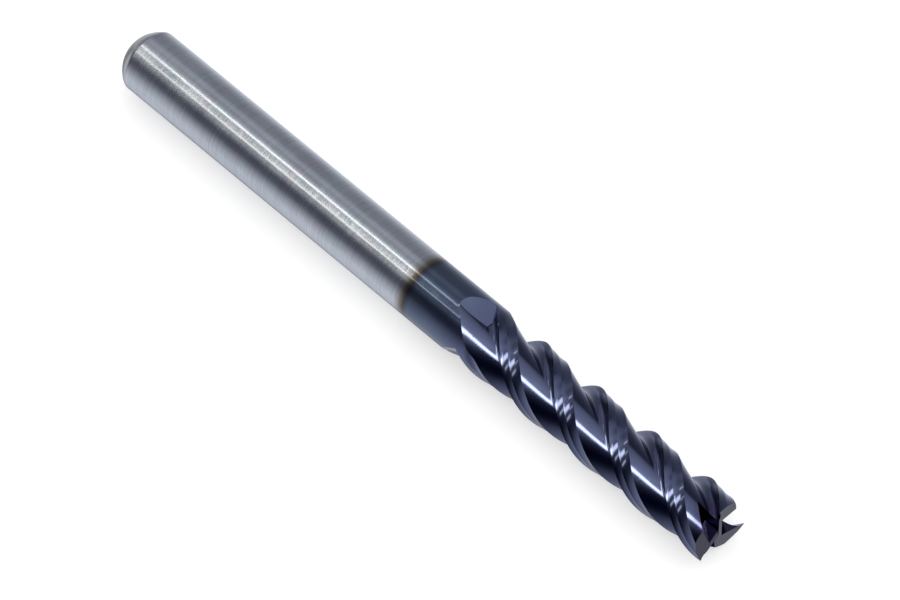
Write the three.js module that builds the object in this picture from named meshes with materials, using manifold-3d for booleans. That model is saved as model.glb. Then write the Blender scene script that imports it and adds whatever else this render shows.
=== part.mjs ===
// A solid-carbide square end mill: three right-hand flutes, right-hand cut, plain round shank.
// Millimetres. The tool lies along +X: the shank's end face is at x = 0, the end teeth are at x = LENGTH.
// Angles about the axis run from +Y towards +Z, so they grow by the right-hand rule about +X.
import * as THREE from "three";
import { mergeVertices } from "three/addons/utils/BufferGeometryUtils.js";
import Module from "manifold-3d";

// Driving dimensions
const DIAMETER = 3.175; // shank and cutting diameter, 1/8 in
const LENGTH = 38.1; // overall, 1 1/2 in
const COATED_LENGTH = 19.05; // from the end teeth to the edge of the coating
const FLUTED_LENGTH = 16.42; // from the end teeth to where the flutes' run-outs begin
const NECK_MARGIN = 0.3; // plain round stretch kept on the fluted body, before the run-outs
const TEETH = 3;
const HELIX = rad(43.5);
const FIRST_CORNER = rad(96); // direction of the first tooth's corner, at the end teeth

// Shank end: a rounded corner all round the end face
const CORNER_LENGTH = 0.8;
const CORNER_DEPTH = 0.75;
const CORNER_POWER = 1.3; // 2 is an ellipse, 1 a plain chamfer

// A tooth's section, in radii and in angles behind its cutting edge
const PRIMARY_CLEARANCE = rad(18);
const PRIMARY_WIDTH = rad(17.5);
const HEEL_RADIUS = 0.93;
const HEEL_ANGLE = rad(42);
const RAKE = rad(12);
const BACK_SLOPE = rad(26); // the flute back's fall towards the axis, all the way from heel to root fillet
const BACK_REACH = 1.05; // the back's curve is carried on outwards to here, past every land
const ROOT_FILLET = 0.3;

// Run-out: each flute ends on a plane that leaves the shank's surface at this slope
const RUNOUT_SLOPE = 0.4263;
const RUNOUT_BEHIND_EDGE = rad(40.5); // the plane's direction, behind the edge where the run-out begins
const RELIEF_START = 1.5; // the land's relief begins this far past the start of the run-out
const RELIEF_FULL = 2.3; // and has its full depth here

// End teeth, in radii; the three end edges differ, as on a centre-cutting three-flute tool
const END_STOCK = 0.12; // millimetres of section beyond the end teeth, cut away by their reliefs
const DISH = rad(2);
const END_CLEARANCE = rad(9);
const END_EDGE_AHEAD = [0.1, -0.23, 0]; // how far ahead of the centre each end edge's line passes
const GASH_DEPTH = 0.632; // below the centre
const GASH_FALL = 0.363; // outwards, along the end edge
const GASH_RISE = 1.204; // forwards, across the gash
const TOOTH_BACK = 0.14; // thickness that a gash leaves behind the end edge ahead of it

// Facets
const ROUND_SIDES = 72;
const CORNER_STEPS = 8;
const LAND_STEPS = [3, 5]; // primary relief, secondary relief
const FLUTE_STEPS = [5, 1, 5]; // flute back, run-out plane, root and rake face
const RUNOUT_STATIONS = 10;
const FLUTE_STATIONS = 40;
const CURVE_STEPS = 48; // samples of the flute's back, before it is divided into facets
const FILLET_STEPS = 24;

const RADIUS = DIAMETER / 2;
const PITCH_ANGLE = (2 * Math.PI) / TEETH;
const TWIST = Math.tan(HELIX) / RADIUS; // radians per millimetre
const COATING_EDGE = LENGTH - COATED_LENGTH;
const RUNOUT_X = LENGTH - FLUTED_LENGTH;
const BODY_X = RUNOUT_X - NECK_MARGIN;
const FAR = 4 * DIAMETER; // larger than anything that a cutting box has to cover

const wasm = await Module();
wasm.setup();

function rad(degrees) {
  return (degrees * Math.PI) / 180;
}

const polar = (radius, angle) => new THREE.Vector2(radius * Math.cos(angle), radius * Math.sin(angle));

function toSolid(geometry) {
  const bare = geometry.clone();
  bare.deleteAttribute("normal");
  bare.deleteAttribute("uv");
  const merged = mergeVertices(bare, 1e-5);
  const mesh = { numProp: 3, vertProperties: merged.attributes.position.array, triVerts: merged.index.array };
  return new wasm.Manifold(new wasm.Mesh(mesh));
}

// Leaves out the slivers that cutting along a shared plane can set loose.
function largestPart(solid) {
  return solid.decompose().reduce((best, part) => (part.volume() > best.volume() ? part : best));
}

function toGeometry(solid) {
  const mesh = solid.getMesh();
  const geometry = new THREE.BufferGeometry();
  geometry.setAttribute("position", new THREE.BufferAttribute(mesh.vertProperties, 3));
  geometry.setIndex(new THREE.BufferAttribute(mesh.triVerts, 1));
  return geometry;
}

// Section of one tooth. Its frame has the cutting edge at angle 0 and angles growing behind it.

// Distance from the axis of the relieved land: two flats, from the edge to the step and on to the heel.
function reliefRadius(behind) {
  const step = polar(Math.cos(PRIMARY_CLEARANCE) / Math.cos(PRIMARY_WIDTH - PRIMARY_CLEARANCE), PRIMARY_WIDTH);
  if (behind <= PRIMARY_WIDTH) return Math.cos(PRIMARY_CLEARANCE) / Math.cos(behind - PRIMARY_CLEARANCE);
  const heel = polar(HEEL_RADIUS, HEEL_ANGLE);
  const along = heel.clone().sub(step);
  const ray = polar(1, behind);
  return step.cross(along) / ray.cross(along);
}

function landRadius(behind, relief) {
  return 1 - relief * (1 - reliefRadius(Math.max(behind, 0)));
}

// The flute between a tooth's heel and the next tooth's cutting edge: back, root fillet, rake face.
// The back is a spiral that falls towards the axis at one steady slope.
function fluteCurve() {
  const outward = polar(1, PITCH_ANGLE);
  const forward = new THREE.Vector2(outward.y, -outward.x);
  const down = outward.clone().multiplyScalar(-Math.cos(RAKE)).addScaledVector(forward, -Math.sin(RAKE));
  const across = outward.clone().multiplyScalar(-Math.sin(RAKE)).addScaledVector(forward, Math.cos(RAKE));
  const fall = Math.tan(BACK_SLOPE);
  const back = (angle) => polar(HEEL_RADIUS * Math.exp((HEEL_ANGLE - angle) * fall), angle);
  const filletCentre = (angle) => back(angle).add(polar(ROOT_FILLET, angle + BACK_SLOPE));
  let joint = HEEL_ANGLE;
  let beyond = PITCH_ANGLE;
  while (beyond - joint > 1e-9) {
    const middle = (joint + beyond) / 2;
    if (filletCentre(middle).sub(outward).dot(across) > ROOT_FILLET) joint = middle;
    else beyond = middle;
  }
  const start = HEEL_ANGLE - Math.log(BACK_REACH / HEEL_RADIUS) / fall;
  const points = [];
  for (let i = 0; i <= CURVE_STEPS; i++) points.push(back(start + ((joint - start) * i) / CURVE_STEPS));
  const centre = filletCentre(joint);
  const backFoot = joint + BACK_SLOPE + Math.PI;
  const sweep = across.clone().multiplyScalar(-1).angle() - backFoot;
  for (let i = 1; i <= FILLET_STEPS; i++)
    points.push(centre.clone().add(polar(ROOT_FILLET, backFoot + (sweep * i) / FILLET_STEPS)));
  points.push(outward.clone().addScaledVector(down, -0.2));
  return points;
}

const FLUTE = fluteCurve();
const ROOT = CURVE_STEPS + FILLET_STEPS / 2; // index of the middle of the root fillet

// The part of a polyline between two places on it, divided into equal steps. A place is an index with a fraction.
function divided(points, from, to, steps) {
  const at = (place) => {
    const i = Math.min(Math.floor(place), points.length - 2);
    return points[i].clone().lerp(points[i + 1], place - i);
  };
  const inner = points.slice(Math.floor(from) + 1, Math.ceil(to));
  const path = [at(from), ...inner, at(to)];
  const run = [0];
  path.slice(1).forEach((p, i) => run.push(run[i] + p.distanceTo(path[i])));
  const total = run[run.length - 1];
  return Array.from({ length: steps + 1 }, (_, k) => {
    const goal = (total * k) / steps;
    const i = Math.max(1, run.findIndex((r) => r >= goal - 1e-12));
    const span = run[i] - run[i - 1];
    return path[i - 1].clone().lerp(path[i], span > 0 ? (goal - run[i - 1]) / span : 0);
  });
}

// The first place, or the last, where a measure of the points along a polyline changes sign.
function crossing(points, measure, last = false) {
  const values = points.map(measure);
  const order = values.map((_, i) => i).slice(1);
  if (last) order.reverse();
  const i = order.find((k) => values[k - 1] < 0 !== values[k] < 0);
  return i === undefined ? null : i - 1 + values[i - 1] / (values[i - 1] - values[i]);
}

// The flute at station x as places on its curve, from heel to edge. Between the two middle places the
// run-out's plane bounds it. Past the start of the rake side the plane meets the round shank instead.
function flutePlaces(past, relief, abovePlane) {
  const heel = crossing(FLUTE, (p) => p.length() - landRadius(p.angle(), relief));
  const edge = crossing(FLUTE, (p) => p.length() - 1, true);
  if (abovePlane(FLUTE[ROOT]) >= 0) return [heel, ROOT, ROOT, edge];
  const backEnd = crossing(FLUTE.slice(0, ROOT + 1), abovePlane, true);
  const rakeStart = crossing(FLUTE.slice(ROOT), abovePlane);
  return [heel, Math.max(heel, backEnd), rakeStart === null ? edge : rakeStart + ROOT, edge];
}

// One tooth's land and the flute behind it, at station x, as points in the tooth's frame.
function toothOutline(x) {
  const past = Math.max(x - RUNOUT_X, 0);
  const relief = THREE.MathUtils.smoothstep(past, RELIEF_START, RELIEF_FULL);
  const planeDistance = 1 - (RUNOUT_SLOPE * past) / RADIUS;
  const planeAngle = RUNOUT_BEHIND_EDGE + past * TWIST;
  const abovePlane = (p) => p.dot(polar(1, planeAngle)) - planeDistance;
  const [heel, backEnd, rakeStart, edge] = flutePlaces(past, relief, abovePlane);
  const corner = polar(1, planeAngle + Math.acos(THREE.MathUtils.clamp(planeDistance, -1, 1)));
  const [backSteps, planeSteps, rakeSteps] = FLUTE_STEPS;
  const back = divided(FLUTE, heel, backEnd, backSteps);
  const rake =
    rakeStart < edge
      ? divided(FLUTE, rakeStart, edge, rakeSteps)
      : Array.from({ length: rakeSteps + 1 }, () => corner.clone());
  const plane = divided([back[backSteps], rake[0]], 0, 1, planeSteps);
  const flute = [...back, ...plane.slice(1), ...rake.slice(1)];
  const edgeAngle = flute[flute.length - 1].angle() - PITCH_ANGLE;
  const heelAngle = flute[0].angle();
  const stepAngle = edgeAngle + Math.min(PRIMARY_WIDTH, (heelAngle - edgeAngle) / 2);
  const land = [];
  const breaks = [edgeAngle, stepAngle, heelAngle];
  LAND_STEPS.forEach((steps, part) => {
    for (let i = 0; i < steps; i++) {
      const behind = THREE.MathUtils.lerp(breaks[part], breaks[part + 1], i / steps);
      land.push(polar(landRadius(behind, relief), behind));
    }
  });
  return [...land, ...flute.slice(0, -1)];
}

// The whole section at station x, counter-clockwise seen from the end teeth, in millimetres.
function section(x) {
  const outline = toothOutline(x);
  const corner = FIRST_CORNER - (LENGTH - x) * TWIST;
  const ring = [];
  for (let tooth = 0; tooth < TEETH; tooth++)
    outline.forEach((p) => {
      const angle = corner - tooth * PITCH_ANGLE - p.angle();
      ring.push(new THREE.Vector3(x, RADIUS * p.length() * Math.cos(angle), RADIUS * p.length() * Math.sin(angle)));
    });
  return ring.reverse();
}

// A closed skin through sections that all have the same number of points.
function loft(rings) {
  const size = rings[0].length;
  const positions = rings.flat().flatMap((p) => p.toArray());
  const triangles = [];
  for (let r = 0; r < rings.length - 1; r++)
    for (let i = 0; i < size; i++) {
      const [a, b] = [r * size + i, r * size + ((i + 1) % size)];
      triangles.push(a, b, b + size, a, b + size, a + size);
    }
  const flat = (ring) => ring.map((p) => new THREE.Vector2(p.y, p.z));
  const lastRing = (rings.length - 1) * size;
  THREE.ShapeUtils.triangulateShape(flat(rings[0]), []).forEach(([a, b, c]) => triangles.push(a, c, b));
  THREE.ShapeUtils.triangulateShape(flat(rings[rings.length - 1]), []).forEach(([a, b, c]) =>
    triangles.push(lastRing + a, lastRing + b, lastRing + c),
  );
  const geometry = new THREE.BufferGeometry();
  geometry.setAttribute("position", new THREE.Float32BufferAttribute(positions, 3));
  geometry.setIndex(triangles);
  return geometry;
}

// Everything on the side of a plane that its normal points to, as a large box.
function halfSpace(point, normal) {
  const box = new THREE.BoxGeometry(FAR, FAR, FAR).translate(0, 0, FAR / 2);
  const turn = new THREE.Quaternion().setFromUnitVectors(new THREE.Vector3(0, 0, 1), normal.clone().normalize());
  return toSolid(box.applyQuaternion(turn).translate(point.x, point.y, point.z));
}

// Frame of one end tooth: out towards its corner, ahead in the cutting direction, and along the tool.
function endFrame(tooth) {
  const angle = FIRST_CORNER - tooth * PITCH_ANGLE;
  const out = new THREE.Vector3(0, Math.cos(angle), Math.sin(angle));
  const ahead = new THREE.Vector3(0, -Math.sin(angle), Math.cos(angle));
  const along = new THREE.Vector3(1, 0, 0);
  const at = (u, f, h) =>
    new THREE.Vector3(LENGTH, 0, 0)
      .addScaledVector(out, u * RADIUS)
      .addScaledVector(ahead, f * RADIUS)
      .addScaledVector(along, h * RADIUS);
  const direction = (u, f, h) => at(u, f, h).sub(at(0, 0, 0));
  const lineTurn = Math.asin(END_EDGE_AHEAD[tooth % TEETH]);
  const aheadOfLine = direction(Math.sin(lineTurn), Math.cos(lineTurn), 0);
  return { at, direction, aheadOfLine };
}

// What is ahead of a tooth's end edge line, or behind it by more than a thickness.
const aheadOf = (tooth) => halfSpace(endFrame(tooth).at(1, 0, 0), endFrame(tooth).aheadOfLine);

function behind(tooth, thickness = 0) {
  const { at, aheadOfLine } = endFrame(tooth);
  const back = aheadOfLine.clone().multiplyScalar(-1);
  return halfSpace(at(1, 0, 0).addScaledVector(back.clone().normalize(), thickness * RADIUS), back);
}

// End relief of one tooth: the end face falls away behind the edge, and a little towards the centre.
function endRelief(tooth) {
  const { at, direction } = endFrame(tooth);
  const face = halfSpace(at(1, 0, 0), direction(-Math.tan(DISH), -Math.tan(END_CLEARANCE), 1));
  return face.intersect(behind(tooth, -0.01)).intersect(aheadOf((tooth + 1) % TEETH));
}

// The small web at the centre that lies ahead of all three end edge lines.
function centreRelief() {
  const { at, direction } = endFrame(0);
  const face = halfSpace(at(0, 0, -Math.tan(DISH)), direction(0, 0, 1));
  return [0, 1, 2].reduce((cut, tooth) => cut.intersect(aheadOf(tooth)), face);
}

// Gash ahead of one end edge: a steep wall under the edge and a floor that climbs away from it.
function gash(tooth) {
  const { at, direction } = endFrame(tooth);
  const floor = halfSpace(at(0, 0, -GASH_DEPTH), direction(GASH_FALL, -GASH_RISE, 1));
  const ahead = (tooth + TEETH - 1) % TEETH;
  const previous = (tooth + 1) % TEETH;
  const open = floor.intersect(aheadOf(tooth));
  return tooth === 2 ? open.intersect(aheadOf(previous)) : open.intersect(behind(ahead, TOOTH_BACK));
}

function shankGeometry() {
  const profile = [new THREE.Vector2(0, 0)];
  for (let i = 0; i <= CORNER_STEPS; i++) {
    const turn = (i / CORNER_STEPS) * (Math.PI / 2);
    const out = Math.sin(turn) ** (2 / CORNER_POWER);
    const back = 1 - Math.cos(turn) ** (2 / CORNER_POWER);
    profile.push(new THREE.Vector2(RADIUS - CORNER_DEPTH * (1 - out), CORNER_LENGTH * back));
  }
  profile.push(new THREE.Vector2(RADIUS, COATING_EDGE), new THREE.Vector2(0, COATING_EDGE));
  return new THREE.LatheGeometry(profile, ROUND_SIDES).rotateZ(-Math.PI / 2);
}

function neckGeometry() {
  const length = BODY_X - COATING_EDGE;
  const cylinder = new THREE.CylinderGeometry(RADIUS, RADIUS, length, ROUND_SIDES);
  return cylinder.rotateZ(-Math.PI / 2).translate(COATING_EDGE + length / 2, 0, 0);
}

function stations() {
  const runoutEnd = RUNOUT_X + RELIEF_FULL;
  const places = [BODY_X, RUNOUT_X];
  for (let i = 1; i < RUNOUT_STATIONS; i++)
    places.push(RUNOUT_X + RELIEF_FULL * (i / RUNOUT_STATIONS) ** 1.5);
  for (let i = 0; i <= FLUTE_STATIONS; i++)
    places.push(THREE.MathUtils.lerp(runoutEnd, LENGTH, i / FLUTE_STATIONS));
  places.push(LENGTH + END_STOCK);
  return places;
}

function flutedGeometry() {
  const rings = stations().map((x) => section(Math.max(x, RUNOUT_X)));
  rings[0] = rings[1].map((p) => new THREE.Vector3(BODY_X, p.y, p.z));
  const teeth = [0, 1, 2];
  const cuts = [centreRelief(), ...teeth.map(endRelief), ...teeth.map(gash)];
  const body = toSolid(loft(rings)).subtract(cuts.reduce((all, cut) => all.add(cut)));
  return toGeometry(largestPart(body));
}

const bareCarbide = new THREE.MeshStandardMaterial({ color: 0x8b8d90, roughness: 0.32, metalness: 1 });
const coatedCarbide = new THREE.MeshStandardMaterial({ color: 0x23243c, roughness: 0.28, metalness: 0.9 });

function piece(name, geometry, material) {
  const mesh = new THREE.Mesh(geometry, material);
  mesh.name = name;
  return mesh;
}

const endMill = new THREE.Group();
endMill.add(piece("shank", shankGeometry(), bareCarbide));
endMill.add(piece("coated_neck", neckGeometry(), coatedCarbide));
endMill.add(piece("fluted_body", flutedGeometry(), coatedCarbide));

export default endMill;
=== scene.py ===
"""A solid-carbide square end mill lying on a pale floor: its fine surfaces, materials, light and camera.

Lengths are in millimetres until a mesh is finished, and in metres from there on. The tool lies along +X,
with its end teeth at the far end. Angles about the axis run from +Y towards +Z.
"""
import math

import bmesh
import bpy
import numpy as np
from mathutils import Matrix, Vector


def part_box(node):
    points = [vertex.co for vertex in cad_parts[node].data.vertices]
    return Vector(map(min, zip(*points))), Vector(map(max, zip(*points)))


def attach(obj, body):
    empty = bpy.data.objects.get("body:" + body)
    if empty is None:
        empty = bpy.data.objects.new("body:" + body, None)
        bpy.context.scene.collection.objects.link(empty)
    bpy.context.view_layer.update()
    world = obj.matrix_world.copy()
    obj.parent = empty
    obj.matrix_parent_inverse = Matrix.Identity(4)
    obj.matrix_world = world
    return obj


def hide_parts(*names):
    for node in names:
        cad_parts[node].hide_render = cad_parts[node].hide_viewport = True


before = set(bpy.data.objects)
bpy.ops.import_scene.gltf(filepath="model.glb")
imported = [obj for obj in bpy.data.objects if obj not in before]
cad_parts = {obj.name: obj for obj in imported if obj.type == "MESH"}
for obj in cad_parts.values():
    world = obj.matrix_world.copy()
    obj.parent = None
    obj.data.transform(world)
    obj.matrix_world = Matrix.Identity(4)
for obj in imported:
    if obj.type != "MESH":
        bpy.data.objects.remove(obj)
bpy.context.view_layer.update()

MM = 0.001
SHANK_LOW, SHANK_HIGH = (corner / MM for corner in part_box("shank"))
BODY_LOW, BODY_HIGH = (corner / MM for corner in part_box("fluted_body"))
JUST_INSIDE = 1 - 1e-5  # keeps round surfaces within the frame's box
RADIUS = (SHANK_HIGH.z - SHANK_LOW.z) / 2 * JUST_INSIDE
LENGTH = BODY_HIGH.x
COATING_EDGE = SHANK_HIGH.x
BODY_START = BODY_LOW.x
FLOOR_Z = SHANK_LOW.z

# Flutes
TEETH = 3
PITCH = 2 * math.pi / TEETH
FLUTED_LENGTH = 16.42
RUNOUT_X = LENGTH - FLUTED_LENGTH
HELIX = math.radians(43.5)
TWIST = math.tan(HELIX) / RADIUS  # radians per millimetre
FIRST_CORNER = math.radians(96)  # where the first tooth's edge meets the end

# Shank end: a rounded corner all round the end face
CORNER_LENGTH = 0.8
CORNER_DEPTH = 0.75
CORNER_POWER = 1.3  # 2 would be an ellipse, and 1 a plain chamfer

# A tooth's section, in radii and in angles behind its cutting edge
PRIMARY_CLEARANCE = math.radians(18)
PRIMARY_WIDTH = math.radians(17.5)
HEEL_RADIUS = 0.93
HEEL_ANGLE = math.radians(42)
RAKE = math.radians(12)
BACK_SLOPE = math.radians(26)
BACK_REACH = 1.05  # the flute's back starts outside the land
RAKE_OVERRUN = 0.2  # and its rake face runs on past the edge
ROOT_FILLET = 0.3

# Run-out: a plane that sinks from the surface to the flute's floor. The relief of the lands grows between two
# distances from its start
RUNOUT_SLOPE = 0.4263
RUNOUT_BEHIND_EDGE = math.radians(40.5)
RELIEF_START = 1.5
RELIEF_FULL = 2.3

# End teeth, in radii, slopes and angles
END_STOCK = 0.12  # millimetres, which the cutters take off
DISH = math.radians(2)
END_CLEARANCE = math.radians(9)
END_EDGE_AHEAD = (0.1, -0.23, 0.0)  # how far ahead of the axis each tooth's end edge runs
GASH_DEPTH = 0.632
GASH_FALL = 0.363
GASH_RISE = 1.204
TOOTH_BACK = 0.14
RELIEF_OVERLAP = 0.01  # how far ahead of its edge a tooth's end relief starts
CUTTER_SIZE = 8.0  # millimetres

# Fineness
CORNER_STEPS = 32
LAND_STEPS = (6, 12)
FLUTE_STEPS = (44, 6, 30)
RUNOUT_STEP = 0.03
FLUTE_STEP = 0.06
CURVE_STEPS = 192
ROOT = CURVE_STEPS + CURVE_STEPS // 4  # place on the flute's curve that is halfway round its root fillet
ROUND_SIDES = 192
SHANK_RINGS = 8
CREASE = math.radians(8.5)
SAME_ANGLE = 1e-9
SAME_PLACE = 1e-4
ON_PLANE = 1e-7


# Section of one tooth, in its own frame: cutting edge at angle 0, angles growing behind it

def polar(radius, angle):
    """Points in the plane of a section."""
    return np.stack([radius * np.cos(angle), radius * np.sin(angle)], axis=-1)


def cross(a, b):
    return a[..., 0] * b[..., 1] - a[..., 1] * b[..., 0]


def relieved_radius(behind):
    """Distance from the axis of the relieved land: one flat to the step, another to the heel."""
    primary = np.cos(PRIMARY_CLEARANCE) / np.cos(behind - PRIMARY_CLEARANCE)
    step = polar(np.cos(PRIMARY_CLEARANCE) / np.cos(PRIMARY_WIDTH - PRIMARY_CLEARANCE), PRIMARY_WIDTH)
    along = polar(HEEL_RADIUS, HEEL_ANGLE) - step
    secondary = cross(step, along) / cross(polar(1.0, behind), along)
    return np.where(behind <= PRIMARY_WIDTH, primary, secondary)


def land_radius(behind, relief):
    return 1 - relief * (1 - relieved_radius(np.maximum(behind, 0)))


def flute_curve():
    """The flute from a tooth's heel to the next tooth's edge: its back, the root fillet and the rake face.

    The back is a spiral that falls towards the axis at one steady slope.
    """
    outward = polar(1.0, PITCH)
    forward = np.array([outward[1], -outward[0]])
    down = -math.cos(RAKE) * outward - math.sin(RAKE) * forward
    across = -math.sin(RAKE) * outward + math.cos(RAKE) * forward

    def back(angle):
        return polar(HEEL_RADIUS * np.exp((HEEL_ANGLE - angle) * math.tan(BACK_SLOPE)), angle)

    def fillet_centre(angle):
        return back(angle) + polar(ROOT_FILLET, angle + BACK_SLOPE)

    joint, beyond = HEEL_ANGLE, PITCH
    while beyond - joint > SAME_ANGLE:
        middle = (joint + beyond) / 2
        if (fillet_centre(middle) - outward) @ across > ROOT_FILLET:
            joint = middle
        else:
            beyond = middle
    start = HEEL_ANGLE - math.log(BACK_REACH / HEEL_RADIUS) / math.tan(BACK_SLOPE)
    rake_foot = math.atan2(-across[1], -across[0]) % (2 * math.pi)
    turns = np.linspace(joint + BACK_SLOPE + math.pi, rake_foot, CURVE_STEPS // 2 + 1)[1:]
    fillet = fillet_centre(joint) + polar(ROOT_FILLET, turns)
    spiral = back(np.linspace(start, joint, CURVE_STEPS + 1))
    return np.vstack([spiral, fillet, outward - down * RAKE_OVERRUN])


FLUTE = flute_curve()
FLUTE_RADII = np.linalg.norm(FLUTE, axis=1)
FLUTE_ANGLES = np.arctan2(FLUTE[:, 1], FLUTE[:, 0])


def crossing(values, last=False):
    """The first place, or the last, where values along the curve change sign."""
    changes = np.nonzero((values[:-1] < 0) != (values[1:] < 0))[0]
    if not len(changes):
        return None
    i = changes[-1 if last else 0]
    return i + values[i] / (values[i] - values[i + 1])


def divided(path, start, end, steps):
    """The part of a path between two places on it, divided into equal steps."""
    def at(place):
        i = min(int(place), len(path) - 2)
        return path[i] + (path[i + 1] - path[i]) * (place - i)
    points = np.vstack([at(start), path[int(start) + 1:math.ceil(end)], at(end)])
    run = np.concatenate([[0], np.cumsum(np.linalg.norm(np.diff(points, axis=0), axis=1))])
    goals = np.linspace(0, run[-1], steps + 1)
    return np.stack([np.interp(goals, run, points[:, k]) for k in (0, 1)], axis=1)


def flute_places(relief, above_plane):
    """Heel, end of the back, start of the rake side, and edge, as places on the flute's curve."""
    heel = crossing(FLUTE_RADII - land_radius(FLUTE_ANGLES, relief))
    edge = crossing(FLUTE_RADII - 1, last=True)
    if above_plane[ROOT] >= 0:
        return heel, ROOT, ROOT, edge
    back_end = crossing(above_plane[:ROOT + 1], last=True)
    rake_start = crossing(above_plane[ROOT:])
    return heel, max(heel, back_end), edge if rake_start is None else rake_start + ROOT, edge


def tooth_outline(x):
    """One tooth's land and the flute behind it at station x."""
    past = max(x - RUNOUT_X, 0)
    share = min(max((past - RELIEF_START) / (RELIEF_FULL - RELIEF_START), 0), 1)
    relief = share * share * (3 - 2 * share)
    plane_distance = 1 - RUNOUT_SLOPE * past / RADIUS
    plane_angle = RUNOUT_BEHIND_EDGE + past * TWIST
    above_plane = FLUTE @ polar(1.0, plane_angle) - plane_distance
    heel, back_end, rake_start, edge = flute_places(relief, above_plane)
    back = divided(FLUTE, heel, back_end, FLUTE_STEPS[0])
    if rake_start < edge:
        rake = divided(FLUTE, rake_start, edge, FLUTE_STEPS[2])
    else:
        corner = polar(1.0, plane_angle + math.acos(max(plane_distance, -1)))
        rake = np.repeat(corner[None], FLUTE_STEPS[2] + 1, axis=0)
    plane = np.linspace(back[-1], rake[0], FLUTE_STEPS[1] + 1)
    flute = np.vstack([back, plane[1:], rake[1:]])
    edge_angle = math.atan2(flute[-1, 1], flute[-1, 0]) - PITCH
    heel_angle = math.atan2(flute[0, 1], flute[0, 0])
    step_angle = edge_angle + min(PRIMARY_WIDTH, (heel_angle - edge_angle) / 2)
    primary = np.linspace(edge_angle, step_angle, LAND_STEPS[0] + 1)[:-1]
    secondary = np.linspace(step_angle, heel_angle, LAND_STEPS[1] + 1)[:-1]
    behind = np.concatenate([primary, secondary])
    return np.vstack([polar(land_radius(behind, relief), behind), flute[:-1]])


def ring(x, radii, angles):
    """Points round the axis at station x."""
    return np.stack([np.full_like(angles, x), radii * np.cos(angles), radii * np.sin(angles)], axis=1)


def section(x):
    """The whole section at station x, counter-clockwise seen from the end teeth, in millimetres."""
    outline = tooth_outline(x)
    radii = RADIUS * np.linalg.norm(outline, axis=1)
    behind = np.arctan2(outline[:, 1], outline[:, 0])
    corner = FIRST_CORNER - (LENGTH - x) * TWIST
    return np.vstack([ring(x, radii, corner - tooth * PITCH - behind) for tooth in range(TEETH)])[::-1]


# Meshes

def skin(rings):
    """Vertices and faces of a closed skin through rings that all have the same number of points."""
    size = len(rings[0])
    vertices = np.vstack(rings)
    faces = []
    for r in range(len(rings) - 1):
        here, there = r * size, (r + 1) * size
        for i in range(size):
            j = (i + 1) % size
            faces.append((here + i, here + j, there + j, there + i))
    faces.append(tuple(range(size))[::-1])
    faces.append(tuple(range((len(rings) - 1) * size, len(rings) * size)))
    return vertices, faces


def mesh_object(name, vertices, faces):
    """An object with its mesh in millimetres, with coinciding points merged."""
    mesh = bpy.data.meshes.new(name)
    mesh.from_pydata([tuple(v) for v in vertices], [], faces)
    work = bmesh.new()
    work.from_mesh(mesh)
    bmesh.ops.remove_doubles(work, verts=work.verts, dist=SAME_PLACE)
    bmesh.ops.dissolve_degenerate(work, edges=work.edges, dist=SAME_PLACE)
    return placed(name, mesh, work)


def placed(name, mesh, work):
    """A new object in the scene that shows the worked mesh."""
    work.to_mesh(mesh)
    work.free()
    obj = bpy.data.objects.new(name, mesh)
    bpy.context.scene.collection.objects.link(obj)
    return obj


def finished(obj):
    """In metres, and shaded smooth except along the real edges."""
    obj.data.transform(Matrix.Scale(MM, 4))
    obj.data.polygons.foreach_set("use_smooth", [True] * len(obj.data.polygons))
    obj.data.set_sharp_from_angle(angle=CREASE)
    obj.data.update()
    return obj


def turned(name, profile):
    """A solid of revolution about X from a profile of (x, radius) points that ends away from the axis."""
    angles = np.linspace(0, 2 * math.pi, ROUND_SIDES, endpoint=False)
    return finished(mesh_object(name, *skin([ring(x, radius, angles) for x, radius in profile])))


# End teeth: cutters, in radii, in the frame of one tooth

class ToothFrame:
    """Directions and places as one tooth sees them: outwards, ahead as the tool turns, and along it."""

    def __init__(self, tooth):
        angle = FIRST_CORNER - tooth * PITCH
        turn = math.asin(END_EDGE_AHEAD[tooth])
        self.out = Vector((0, math.cos(angle), math.sin(angle)))
        self.ahead = Vector((0, -math.sin(angle), math.cos(angle)))
        self.ahead_of_line = self.direction(math.sin(turn), math.cos(turn), 0)

    def direction(self, out, ahead, along):
        return self.out * out + self.ahead * ahead + Vector((1, 0, 0)) * along

    def at(self, out, ahead, along):
        return Vector((LENGTH, 0, 0)) + self.direction(out, ahead, along) * RADIUS


TOOTH_FRAMES = [ToothFrame(tooth) for tooth in range(TEETH)]


def ahead_of(tooth):
    """The plane of a tooth's end edge, with its normal ahead."""
    own = TOOTH_FRAMES[tooth % TEETH]
    return own.at(1, 0, 0), own.ahead_of_line


def back_of(tooth, thickness):
    """The plane that far behind a tooth's end edge, with its normal to the rear."""
    own = TOOTH_FRAMES[tooth % TEETH]
    return own.at(1, 0, 0) - own.ahead_of_line * thickness * RADIUS, -own.ahead_of_line


def wedge(name, planes):
    """The region on the far side of every plane (a point and a normal), cut from a large box."""
    work = bmesh.new()
    bmesh.ops.create_cube(work, size=CUTTER_SIZE, matrix=Matrix.Translation((LENGTH, 0, 0)))
    for point, normal in planes:
        cut = bmesh.ops.bisect_plane(work, geom=work.verts[:] + work.edges[:] + work.faces[:],
                                     plane_co=point, plane_no=-normal, clear_outer=True, dist=ON_PLANE)
        rim = [e for e in cut["geom_cut"] if isinstance(e, bmesh.types.BMEdge)]
        bmesh.ops.contextual_create(work, geom=rim)
    bmesh.ops.recalc_face_normals(work, faces=work.faces[:])
    return placed(name, bpy.data.meshes.new(name), work)


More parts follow.
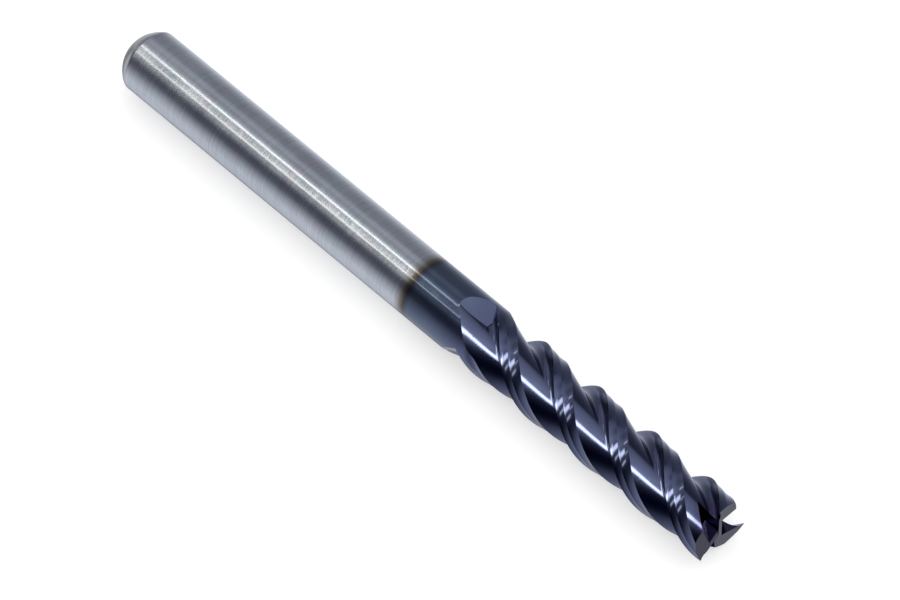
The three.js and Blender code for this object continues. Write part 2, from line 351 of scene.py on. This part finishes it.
def tip_cutters():
    """Centre relief, then each tooth's end relief and the gash ahead of it.

    The last tooth's gash reaches the first tooth's edge. The others stop at the back of the tooth before.
    """
    centre = (TOOTH_FRAMES[0].at(0, 0, -math.tan(DISH)), Vector((1, 0, 0)))
    cutters = [wedge("cut_centre", [centre] + [ahead_of(t) for t in range(TEETH)])]
    for tooth, own in enumerate(TOOTH_FRAMES):
        face = (own.at(1, 0, 0), own.direction(-math.tan(DISH), -math.tan(END_CLEARANCE), 1).normalized())
        start = back_of(tooth, -RELIEF_OVERLAP)
        cutters.append(wedge(f"cut_relief_{tooth}", [face, start, ahead_of(tooth + 1)]))
        floor = (own.at(0, 0, -GASH_DEPTH), own.direction(GASH_FALL, -GASH_RISE, 1).normalized())
        last = tooth == TEETH - 1
        limit = ahead_of(tooth + 1) if last else back_of(tooth - 1, TOOTH_BACK)
        cutters.append(wedge(f"cut_gash_{tooth}", [floor, ahead_of(tooth), limit]))
    return cutters


def cut_away(obj, cutters):
    """Take the cutters' space out of an object, and the cutters out of the scene."""
    for cutter in cutters:
        cut = obj.modifiers.new(cutter.name, "BOOLEAN")
        cut.operation = "DIFFERENCE"
        cut.solver = "MANIFOLD"
        cut.object = cutter
    done = bpy.data.meshes.new_from_object(obj.evaluated_get(bpy.context.evaluated_depsgraph_get()))
    obj.modifiers.clear()
    obj.data = done
    for cutter in cutters:
        bpy.data.objects.remove(cutter)


def stations():
    """Where the sections are taken: closer together in the run-out."""
    past_runout = RUNOUT_X + RELIEF_FULL
    runout = np.arange(RUNOUT_X, past_runout, RUNOUT_STEP)
    flutes = np.linspace(past_runout, LENGTH, round((LENGTH - past_runout) / FLUTE_STEP))
    return np.concatenate([runout, flutes, [LENGTH + END_STOCK]])


def cutting_end():
    """The fluted body, whose first section is carried back to the collar."""
    rings = [section(x) for x in stations()]
    start = rings[0].copy()
    start[:, 0] = BODY_START
    obj = mesh_object("cutting_end", *skin([start] + rings))
    cut_away(obj, tip_cutters())
    return finished(obj)


def ground_shank():
    """A plain round shank with a rounded corner at its end."""
    turns = np.linspace(0, math.pi / 2, CORNER_STEPS + 1)
    out = np.sin(turns) ** (2 / CORNER_POWER)
    back = 1 - np.abs(np.cos(turns)) ** (2 / CORNER_POWER)
    profile = list(zip(CORNER_LENGTH * back, RADIUS - CORNER_DEPTH * (1 - out)))
    profile += [(COATING_EDGE * k / SHANK_RINGS, RADIUS) for k in range(1, SHANK_RINGS + 1)]
    return turned("ground_shank", profile)


def coated_collar():
    """The round stretch between the bare shank and the flutes."""
    return turned("coated_collar", [(COATING_EDGE, RADIUS), (BODY_START, RADIUS)])


# Materials: where they change, in millimetres from the shank's end, full at the first and gone at the second
CORNER_SHADE = (0.4, 0.9)
RIM_SHADE = (0.05, 0.3)
WORN_SHANK = (1, 9)
# either side of the coating's edge, and of the start of the fluted body
STAIN_LENGTH, FRINGE_LENGTH = 0.5, 0.55
FRINGE_WAVER = 0.06
TEAL_BEFORE, VIOLET_PAST = 0.6, 1.5
# back from the end teeth, none at the first and full at the second
GASH_SHADE = (1.5, 0.9)
# and how squarely a surface looks along the tool to be one of its ends
END_FACING = (0.88, 0.94)

STAINED = (0.2, 0.19, 0.165)


class Nodes:
    """A short way to add and link shader nodes."""

    def __init__(self, tree):
        self.tree = tree

    @classmethod
    def of_material(cls, name):
        material = bpy.data.materials.new(name)
        material.use_nodes = True
        nodes = cls(material.node_tree)
        nodes.material = material
        nodes.shader = nodes.tree.nodes["Principled BSDF"]
        coordinates = nodes.add("ShaderNodeTexCoord")
        nodes.place = coordinates.outputs["Object"]
        nodes.facing = coordinates.outputs["Normal"]
        return nodes

    def add(self, kind, inputs=None, **settings):
        node = self.tree.nodes.new(kind)
        for key, value in settings.items():
            setattr(node, key, value)
        for key, value in (inputs or {}).items():
            self.feed(node.inputs[key], value)
        return node

    def surface(self, inputs):
        """Feed the material's shader, and hand over the material."""
        for key, value in inputs.items():
            self.feed(self.shader.inputs[key], value)
        return self.material

    def feed(self, socket, value):
        if isinstance(value, bpy.types.NodeSocket):
            self.tree.links.new(value, socket)
        else:
            socket.default_value = value

    def scaled(self, scale, offset=(0, 0, 0)):
        inputs = {"Vector": self.place, "Scale": scale, "Location": offset}
        return self.add("ShaderNodeMapping", inputs).outputs["Vector"]

    def noise(self, scale, detail=2.0, roughness=0.5, offset=(0, 0, 0)):
        """Noise with its own scale along each axis, per metre."""
        inputs = {"Vector": self.scaled(scale, offset), "Scale": 1.0}
        inputs.update({"Detail": detail, "Roughness": roughness})
        return self.add("ShaderNodeTexNoise", inputs).outputs["Fac"]

    def ramp(self, value, *stops):
        """Colour ramp with (position, colour) stops; a grey may be one number."""
        node = self.add("ShaderNodeValToRGB", {"Fac": value})
        elements = node.color_ramp.elements
        while len(elements) < len(stops):
            elements.new(1.0)
        for element, (position, colour) in zip(elements, stops):
            element.position = position
            shade = (colour,) * 3 if isinstance(colour, (int, float)) else tuple(colour)
            element.color = (*shade, 1.0)
        return node.outputs["Color"]

    def mix(self, share, a, b, blend="MIX"):
        """Two colours mixed. The node has several sockets of each name, so they go by number here."""
        node = self.add("ShaderNodeMix", data_type="RGBA", blend_type=blend)
        for index, value in ((0, share), (6, a), (7, b)):
            if isinstance(value, tuple):
                value = (*value, 1.0)
            self.feed(node.inputs[index], value)
        return node.outputs[2]

    def math(self, operation, a, b=0.0, c=0.0):
        node = self.add("ShaderNodeMath", {0: a, 1: b, 2: c}, operation=operation)
        return node.outputs[0]

    def range(self, value, low, high, to_low=0.0, to_high=1.0):
        """The share of the way from low to high, or that share between two other values."""
        inputs = {"Value": value, "From Min": low, "From Max": high, "To Min": to_low, "To Max": to_high}
        return self.add("ShaderNodeMapRange", inputs).outputs["Result"]

    def bump(self, height, strength, distance, normal=None):
        node = self.add("ShaderNodeBump", {"Height": height, "Strength": strength, "Distance": distance})
        if normal is not None:
            self.feed(node.inputs["Normal"], normal)
        return node.outputs["Normal"]

    def along(self):
        """Distance from the shank's end, in metres."""
        return self.add("ShaderNodeSeparateXYZ", {"Vector": self.place}).outputs["X"]

    def off_axis(self):
        """Distance from the tool's axis, in metres."""
        flat = self.scaled((0, 1, 1))
        return self.add("ShaderNodeVectorMath", {0: flat}, operation="LENGTH").outputs["Value"]


def ring_marks(nodes, pitch, round_scale):
    """Fine marks round the tool, that many millimetres apart, as a centreless grinder leaves them."""
    return nodes.noise((1 / (pitch * MM), round_scale, round_scale), detail=3.0, roughness=0.65)


def bare_carbide():
    """The ground shank: fine grey bands, with painted shade on its rounded corner, and darker next to the
    coating.
    """
    nodes = Nodes.of_material("bare_carbide")
    x = nodes.along()
    fine = ring_marks(nodes, 0.045, 260)
    broad = ring_marks(nodes, 0.6, 120)
    blotch = nodes.noise((420, 900, 900), detail=4.0, roughness=0.6, offset=(3, 7, 1))
    ground = nodes.mix(0.45, fine, blotch)
    steel = nodes.ramp(ground, (0.3, (0.39, 0.408, 0.44)), (0.7, (0.56, 0.58, 0.61)))
    tint = nodes.ramp(broad, (0.35, (0.93, 1.0, 0.975)), (0.65, (1.0, 0.955, 0.985)))
    steel = nodes.mix(1.0, steel, tint, blend="MULTIPLY")
    # painted shade: the rounded corner at the shank's end is darkened in the base colour
    corner = nodes.range(x, CORNER_SHADE[1] * MM, CORNER_SHADE[0] * MM)
    steel = nodes.mix(corner, steel, (0.27, 0.28, 0.25))
    face_radius = (RADIUS - CORNER_DEPTH) * MM
    near_end = nodes.range(x, RIM_SHADE[1] * MM, RIM_SHADE[0] * MM)
    outside_face = nodes.range(nodes.off_axis(), 0.85 * face_radius, 0.97 * face_radius)
    steel = nodes.mix(nodes.math("MULTIPLY", near_end, outside_face), steel, (0.25, 0.25, 0.11))
    stain = nodes.range(x, (COATING_EDGE - STAIN_LENGTH) * MM, COATING_EDGE * MM)
    steel = nodes.mix(nodes.math("POWER", stain, 2.0), steel, STAINED)
    roughness = nodes.range(nodes.mix(0.6, fine, blotch), 0.3, 0.7, 0.12, 0.21)
    wear = nodes.range(x, WORN_SHANK[1] * MM, WORN_SHANK[0] * MM, 0.0, 0.04)
    roughness = nodes.math("ADD", roughness, wear)
    ripple = nodes.noise((3000, 1500, 1500), detail=2.0, roughness=0.6, offset=(8, 1, 4))
    normal = nodes.bump(fine, 0.2, 0.004 * MM)
    normal = nodes.bump(ripple, 0.6, 0.006 * MM, normal)
    normal = nodes.bump(blotch, 0.2, 0.004 * MM, normal)
    return nodes.surface({"Base Color": steel, "Metallic": 1.0, "Roughness": roughness, "Normal": normal})


def coated_carbide():
    """The coating: brown where it starts, teal on the collar, violet on the flutes, grey on the end, with
    painted shade in the gashes by the end teeth.
    """
    nodes = Nodes.of_material("coated_carbide")
    x = nodes.along()
    grit = nodes.noise((9000, 9000, 9000), detail=3.0, roughness=0.6)
    cloud = nodes.noise((500, 800, 800), detail=3.0, roughness=0.55, offset=(5, 2, 9))
    fine = ring_marks(nodes, 0.05, 300)
    violet = nodes.ramp(cloud, (0.3, (0.072, 0.086, 0.148)), (0.7, (0.092, 0.107, 0.182)))
    teal = nodes.ramp(cloud, (0.3, (0.076, 0.104, 0.15)), (0.7, (0.1, 0.132, 0.185)))
    on_body = nodes.range(x, (BODY_START - TEAL_BEFORE) * MM, (BODY_START + VIOLET_PAST) * MM)
    blue = nodes.mix(on_body, teal, violet)
    blue = nodes.mix(nodes.range(grit, 0.3, 0.75, 0.0, 0.3), blue, (0.115, 0.12, 0.19))
    waver = nodes.math("MULTIPLY", nodes.math("SUBTRACT", cloud, 0.5), FRINGE_WAVER * MM)
    past = nodes.math("ADD", x, waver)
    past = nodes.range(past, COATING_EDGE * MM, (COATING_EDGE + FRINGE_LENGTH) * MM)
    fringe = nodes.ramp(past, (0.0, STAINED), (0.3, (0.11, 0.09, 0.07)), (0.5, (0.06, 0.05, 0.06)),
                        (1.0, (0.055, 0.06, 0.10)))
    colour = nodes.mix(nodes.ramp(past, (0.35, 1.0), (1.0, 0.0)), blue, fringe)
    facing = nodes.add("ShaderNodeSeparateXYZ", {"Vector": nodes.facing}).outputs["X"]
    end_face = nodes.range(facing, *END_FACING)
    near_end = nodes.range(x, (LENGTH - GASH_SHADE[0]) * MM, (LENGTH - GASH_SHADE[1]) * MM)
    inside = nodes.range(nodes.off_axis(), 0.95 * RADIUS * MM, 0.7 * RADIUS * MM)
    # painted shade: the recessed gashes near the end teeth are darkened in the base colour
    gash = nodes.math("MULTIPLY", nodes.math("SUBTRACT", near_end, end_face), inside)
    colour = nodes.mix(gash, colour, (0.05, 0.048, 0.1))
    colour = nodes.mix(end_face, colour, (0.125, 0.125, 0.15))
    roughness = nodes.range(nodes.mix(0.5, grit, cloud), 0.3, 0.7, 0.07, 0.15)
    normal = nodes.bump(grit, 0.12, 0.002 * MM)
    normal = nodes.bump(fine, 0.3, 0.003 * MM, normal)
    return nodes.surface({"Base Color": colour, "Metallic": 1.0, "Roughness": roughness, "Normal": normal})


# Studio

FLOOR_HALF = 1.5  # metres


def pale_floor():
    """A floor that glows a little, so that it is nearly white in shadow too. The tool doesn't mirror it."""
    nodes = Nodes.of_material("floor")
    paper = nodes.surface({"Base Color": (0.6, 0.6, 0.6, 1), "Roughness": 0.9,
                           "Emission Color": (1, 1, 1, 1), "Emission Strength": 0.5})
    mesh = bpy.data.meshes.new("floor")
    square = ((-1, -1), (1, -1), (1, 1), (-1, 1))
    corners = [(x * FLOOR_HALF, y * FLOOR_HALF, FLOOR_Z * MM) for x, y in square]
    mesh.from_pydata(corners, [], [(0, 1, 2, 3)])
    mesh.materials.append(paper)
    floor = bpy.data.objects.new("floor", mesh)
    bpy.context.scene.collection.objects.link(floor)
    floor.visible_glossy = False


# What the tool mirrors, by roll about its axis (0 towards +Y, 90 straight up): brightness of the studio's
# walls beside the tool, which its shank and lands mirror, and ahead of its end teeth, for the flutes
WALLS_BESIDE = ((-90, 0.35), (-66, 0.55), (-45, 0.9), (-20, 0.72), (-8, 0.54), (4, 0.42), (20, 0.32),
                (46, 0.32), (56, 0.5), (64, 0.58), (71, 0.44), (80, 0.46), (90, 0.8), (110, 0.5),
                (130, 0.38), (142, 0.17), (152, 0.09), (168, 0.15), (180, 0.37), (198, 0.7), (220, 0.95),
                (245, 0.9), (270, 0.65))
WALLS_AHEAD = ((-90, 0.5), (-66, 0.45), (-50, 0.5), (-35, 1.0), (-22, 0.7), (-8, 0.3), (14, 0.16),
               (38, 0.14), (44, 0.6), (60, 0.95), (76, 1.15), (88, 1.5), (110, 0.6), (118, 0.4),
               (125, 0.15), (135, 0.05), (150, 0.0), (168, 0.0), (185, 0.06), (197, 0.2), (212, 0.38),
               (245, 0.6), (270, 0.6))
# The one set of walls gives way to the other between these two places along the tool's direction (-1 to 1)
WALLS_MEET = (-0.35, 0.05)
RAMP_TOP = 3.0  # the brightness that a colour ramp's 1 stands for
WALL_TINT = (0.97, 1.0, 1.06)
DARKEST = (0.0, 0.002, 0.03)  # nothing that the tool mirrors is quite black
# The studio's strip lamps: roll, width in degrees, brightness, and the stretch along the tool's direction
STRIPS = ((94.5, 3.6, 3.9, -0.6, -0.39), (120.5, 4.2, 2.5, -0.6, -0.39), (112, 11.0, 6.5, -0.39, -0.04),
          (134, 6.0, 3.0, -0.39, -0.08), (99, 13.0, 11.0, -0.04, 1.0))
LAMP_TINT = (1.06, 1.03, 0.93)
SIDE_BLUR = 0.4  # of half a lamp's width
END_BLUR = 0.03
# The lamps are not quite parallel to the tool: how far they drift in roll, in degrees, along its direction
LAMP_DRIFT = ((-0.08, 0), (0.04, 15), (0.27, -4))
MOST_DRIFT = 20
# The light that everything but a glossy reflection gets
SOFT_LIGHT = (1.12, 1.12, 1.12)
LIGHT_MAP_SIZE = 1024


def turn_share(roll):
    """A roll as a share of the whole turn from straight down."""
    return (roll + 90) / 360


def studio_world():
    """Even pale light on the floor. Glossy surfaces mirror grey walls, a dark card and the strip lamps."""
    world = bpy.data.worlds.new("studio")
    world.use_nodes = True
    bpy.context.scene.world = world
    nodes = Nodes(world.node_tree)
    direction = nodes.add("ShaderNodeTexCoord").outputs["Generated"]
    split = nodes.add("ShaderNodeSeparateXYZ", {"Vector": direction})
    along = split.outputs["X"]
    turn = nodes.math("ARCTAN2", split.outputs["Z"], split.outputs["Y"])
    place = nodes.math("FRACT", nodes.math("MULTIPLY_ADD", turn, 1 / (2 * math.pi), turn_share(0)))
    beside, ahead = (nodes.ramp(place, *((turn_share(roll), grey / RAMP_TOP) for roll, grey in walls))
                     for walls in (WALLS_BESIDE, WALLS_AHEAD))
    light = nodes.mix(nodes.range(along, *WALLS_MEET), beside, ahead)
    light = nodes.mix(1.0, light, tuple(RAMP_TOP * tint for tint in WALL_TINT), blend="MULTIPLY")
    light = nodes.mix(1.0, light, DARKEST, blend="ADD")
    drift = nodes.ramp(nodes.range(along, -1.0, 1.0),
                       *(((x + 1) / 2, (roll + MOST_DRIFT) / (2 * MOST_DRIFT)) for x, roll in LAMP_DRIFT))
    drift = nodes.range(drift, 0.0, 1.0, -MOST_DRIFT / 360, MOST_DRIFT / 360)
    lamp_place = nodes.math("SUBTRACT", place, drift)
    for roll, width, brightness, low, high in STRIPS:
        away = nodes.math("ABSOLUTE", nodes.math("SUBTRACT", lamp_place, turn_share(roll)))
        side = width / 2 / 360
        share = nodes.range(away, side * (1 + SIDE_BLUR), side * (1 - SIDE_BLUR))
        share = nodes.math("MULTIPLY", share, nodes.range(along, low - END_BLUR, low + END_BLUR))
        share = nodes.math("MULTIPLY", share, nodes.range(along, high + END_BLUR, high - END_BLUR))
        light = nodes.mix(share, light, tuple(brightness * tint for tint in LAMP_TINT))
    glossy = nodes.add("ShaderNodeLightPath").outputs["Is Glossy Ray"]
    background = nodes.tree.nodes["Background"]
    nodes.feed(background.inputs["Color"], nodes.mix(glossy, SOFT_LIGHT, light))
    world.cycles.sampling_method = "MANUAL"
    world.cycles.sample_map_resolution = LIGHT_MAP_SIZE


# Camera: a long lens, from above and ahead of the end teeth, in millimetres
AZIMUTH = math.radians(46.29)
ELEVATION = math.radians(51.88)
DISTANCE = 435
FOCAL_LENGTH = 386.4
SENSOR_WIDTH = 36
NEAR, FAR = 10, 10000
AIM_RIGHT, AIM_DOWN = 1.171, 0.576  # from the middle of the tool, across the view


def camera():
    back = Vector((math.sin(AZIMUTH) * math.cos(ELEVATION), -math.cos(AZIMUTH) * math.cos(ELEVATION),
                   math.sin(ELEVATION)))
    right = Vector((math.cos(AZIMUTH), math.sin(AZIMUTH), 0))
    up = back.cross(right)
    lens = bpy.data.cameras.new("camera")
    lens.sensor_width = SENSOR_WIDTH
    lens.lens = FOCAL_LENGTH
    lens.clip_start = NEAR * MM
    lens.clip_end = FAR * MM
    obj = bpy.data.objects.new("camera", lens)
    bpy.context.scene.collection.objects.link(obj)
    aim = Vector((LENGTH / 2, 0, 0)) * MM + right * AIM_RIGHT * MM - up * AIM_DOWN * MM
    place = Matrix((right, up, back)).transposed().to_4x4()
    place.translation = aim + back * (DISTANCE * MM)
    obj.matrix_world = place
    bpy.context.scene.camera = obj


def tool():
    """The three pieces, each in the place of its node in the frame."""
    carbide, coating = bare_carbide(), coated_carbide()
    for obj, node, material, slot in (
        (ground_shank(), "shank", carbide, "bare_carbide"),
        (coated_collar(), "coated_neck", coating, "coated_carbide"),
        (cutting_end(), "fluted_body", coating, "coated_carbide"),
    ):
        obj.data.materials.clear()
        obj.data.materials.append(material)
        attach(obj, "root")
        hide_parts(node)


tool()
pale_floor()
studio_world()
camera()
bpy.context.scene.view_settings.view_transform = "Standard"
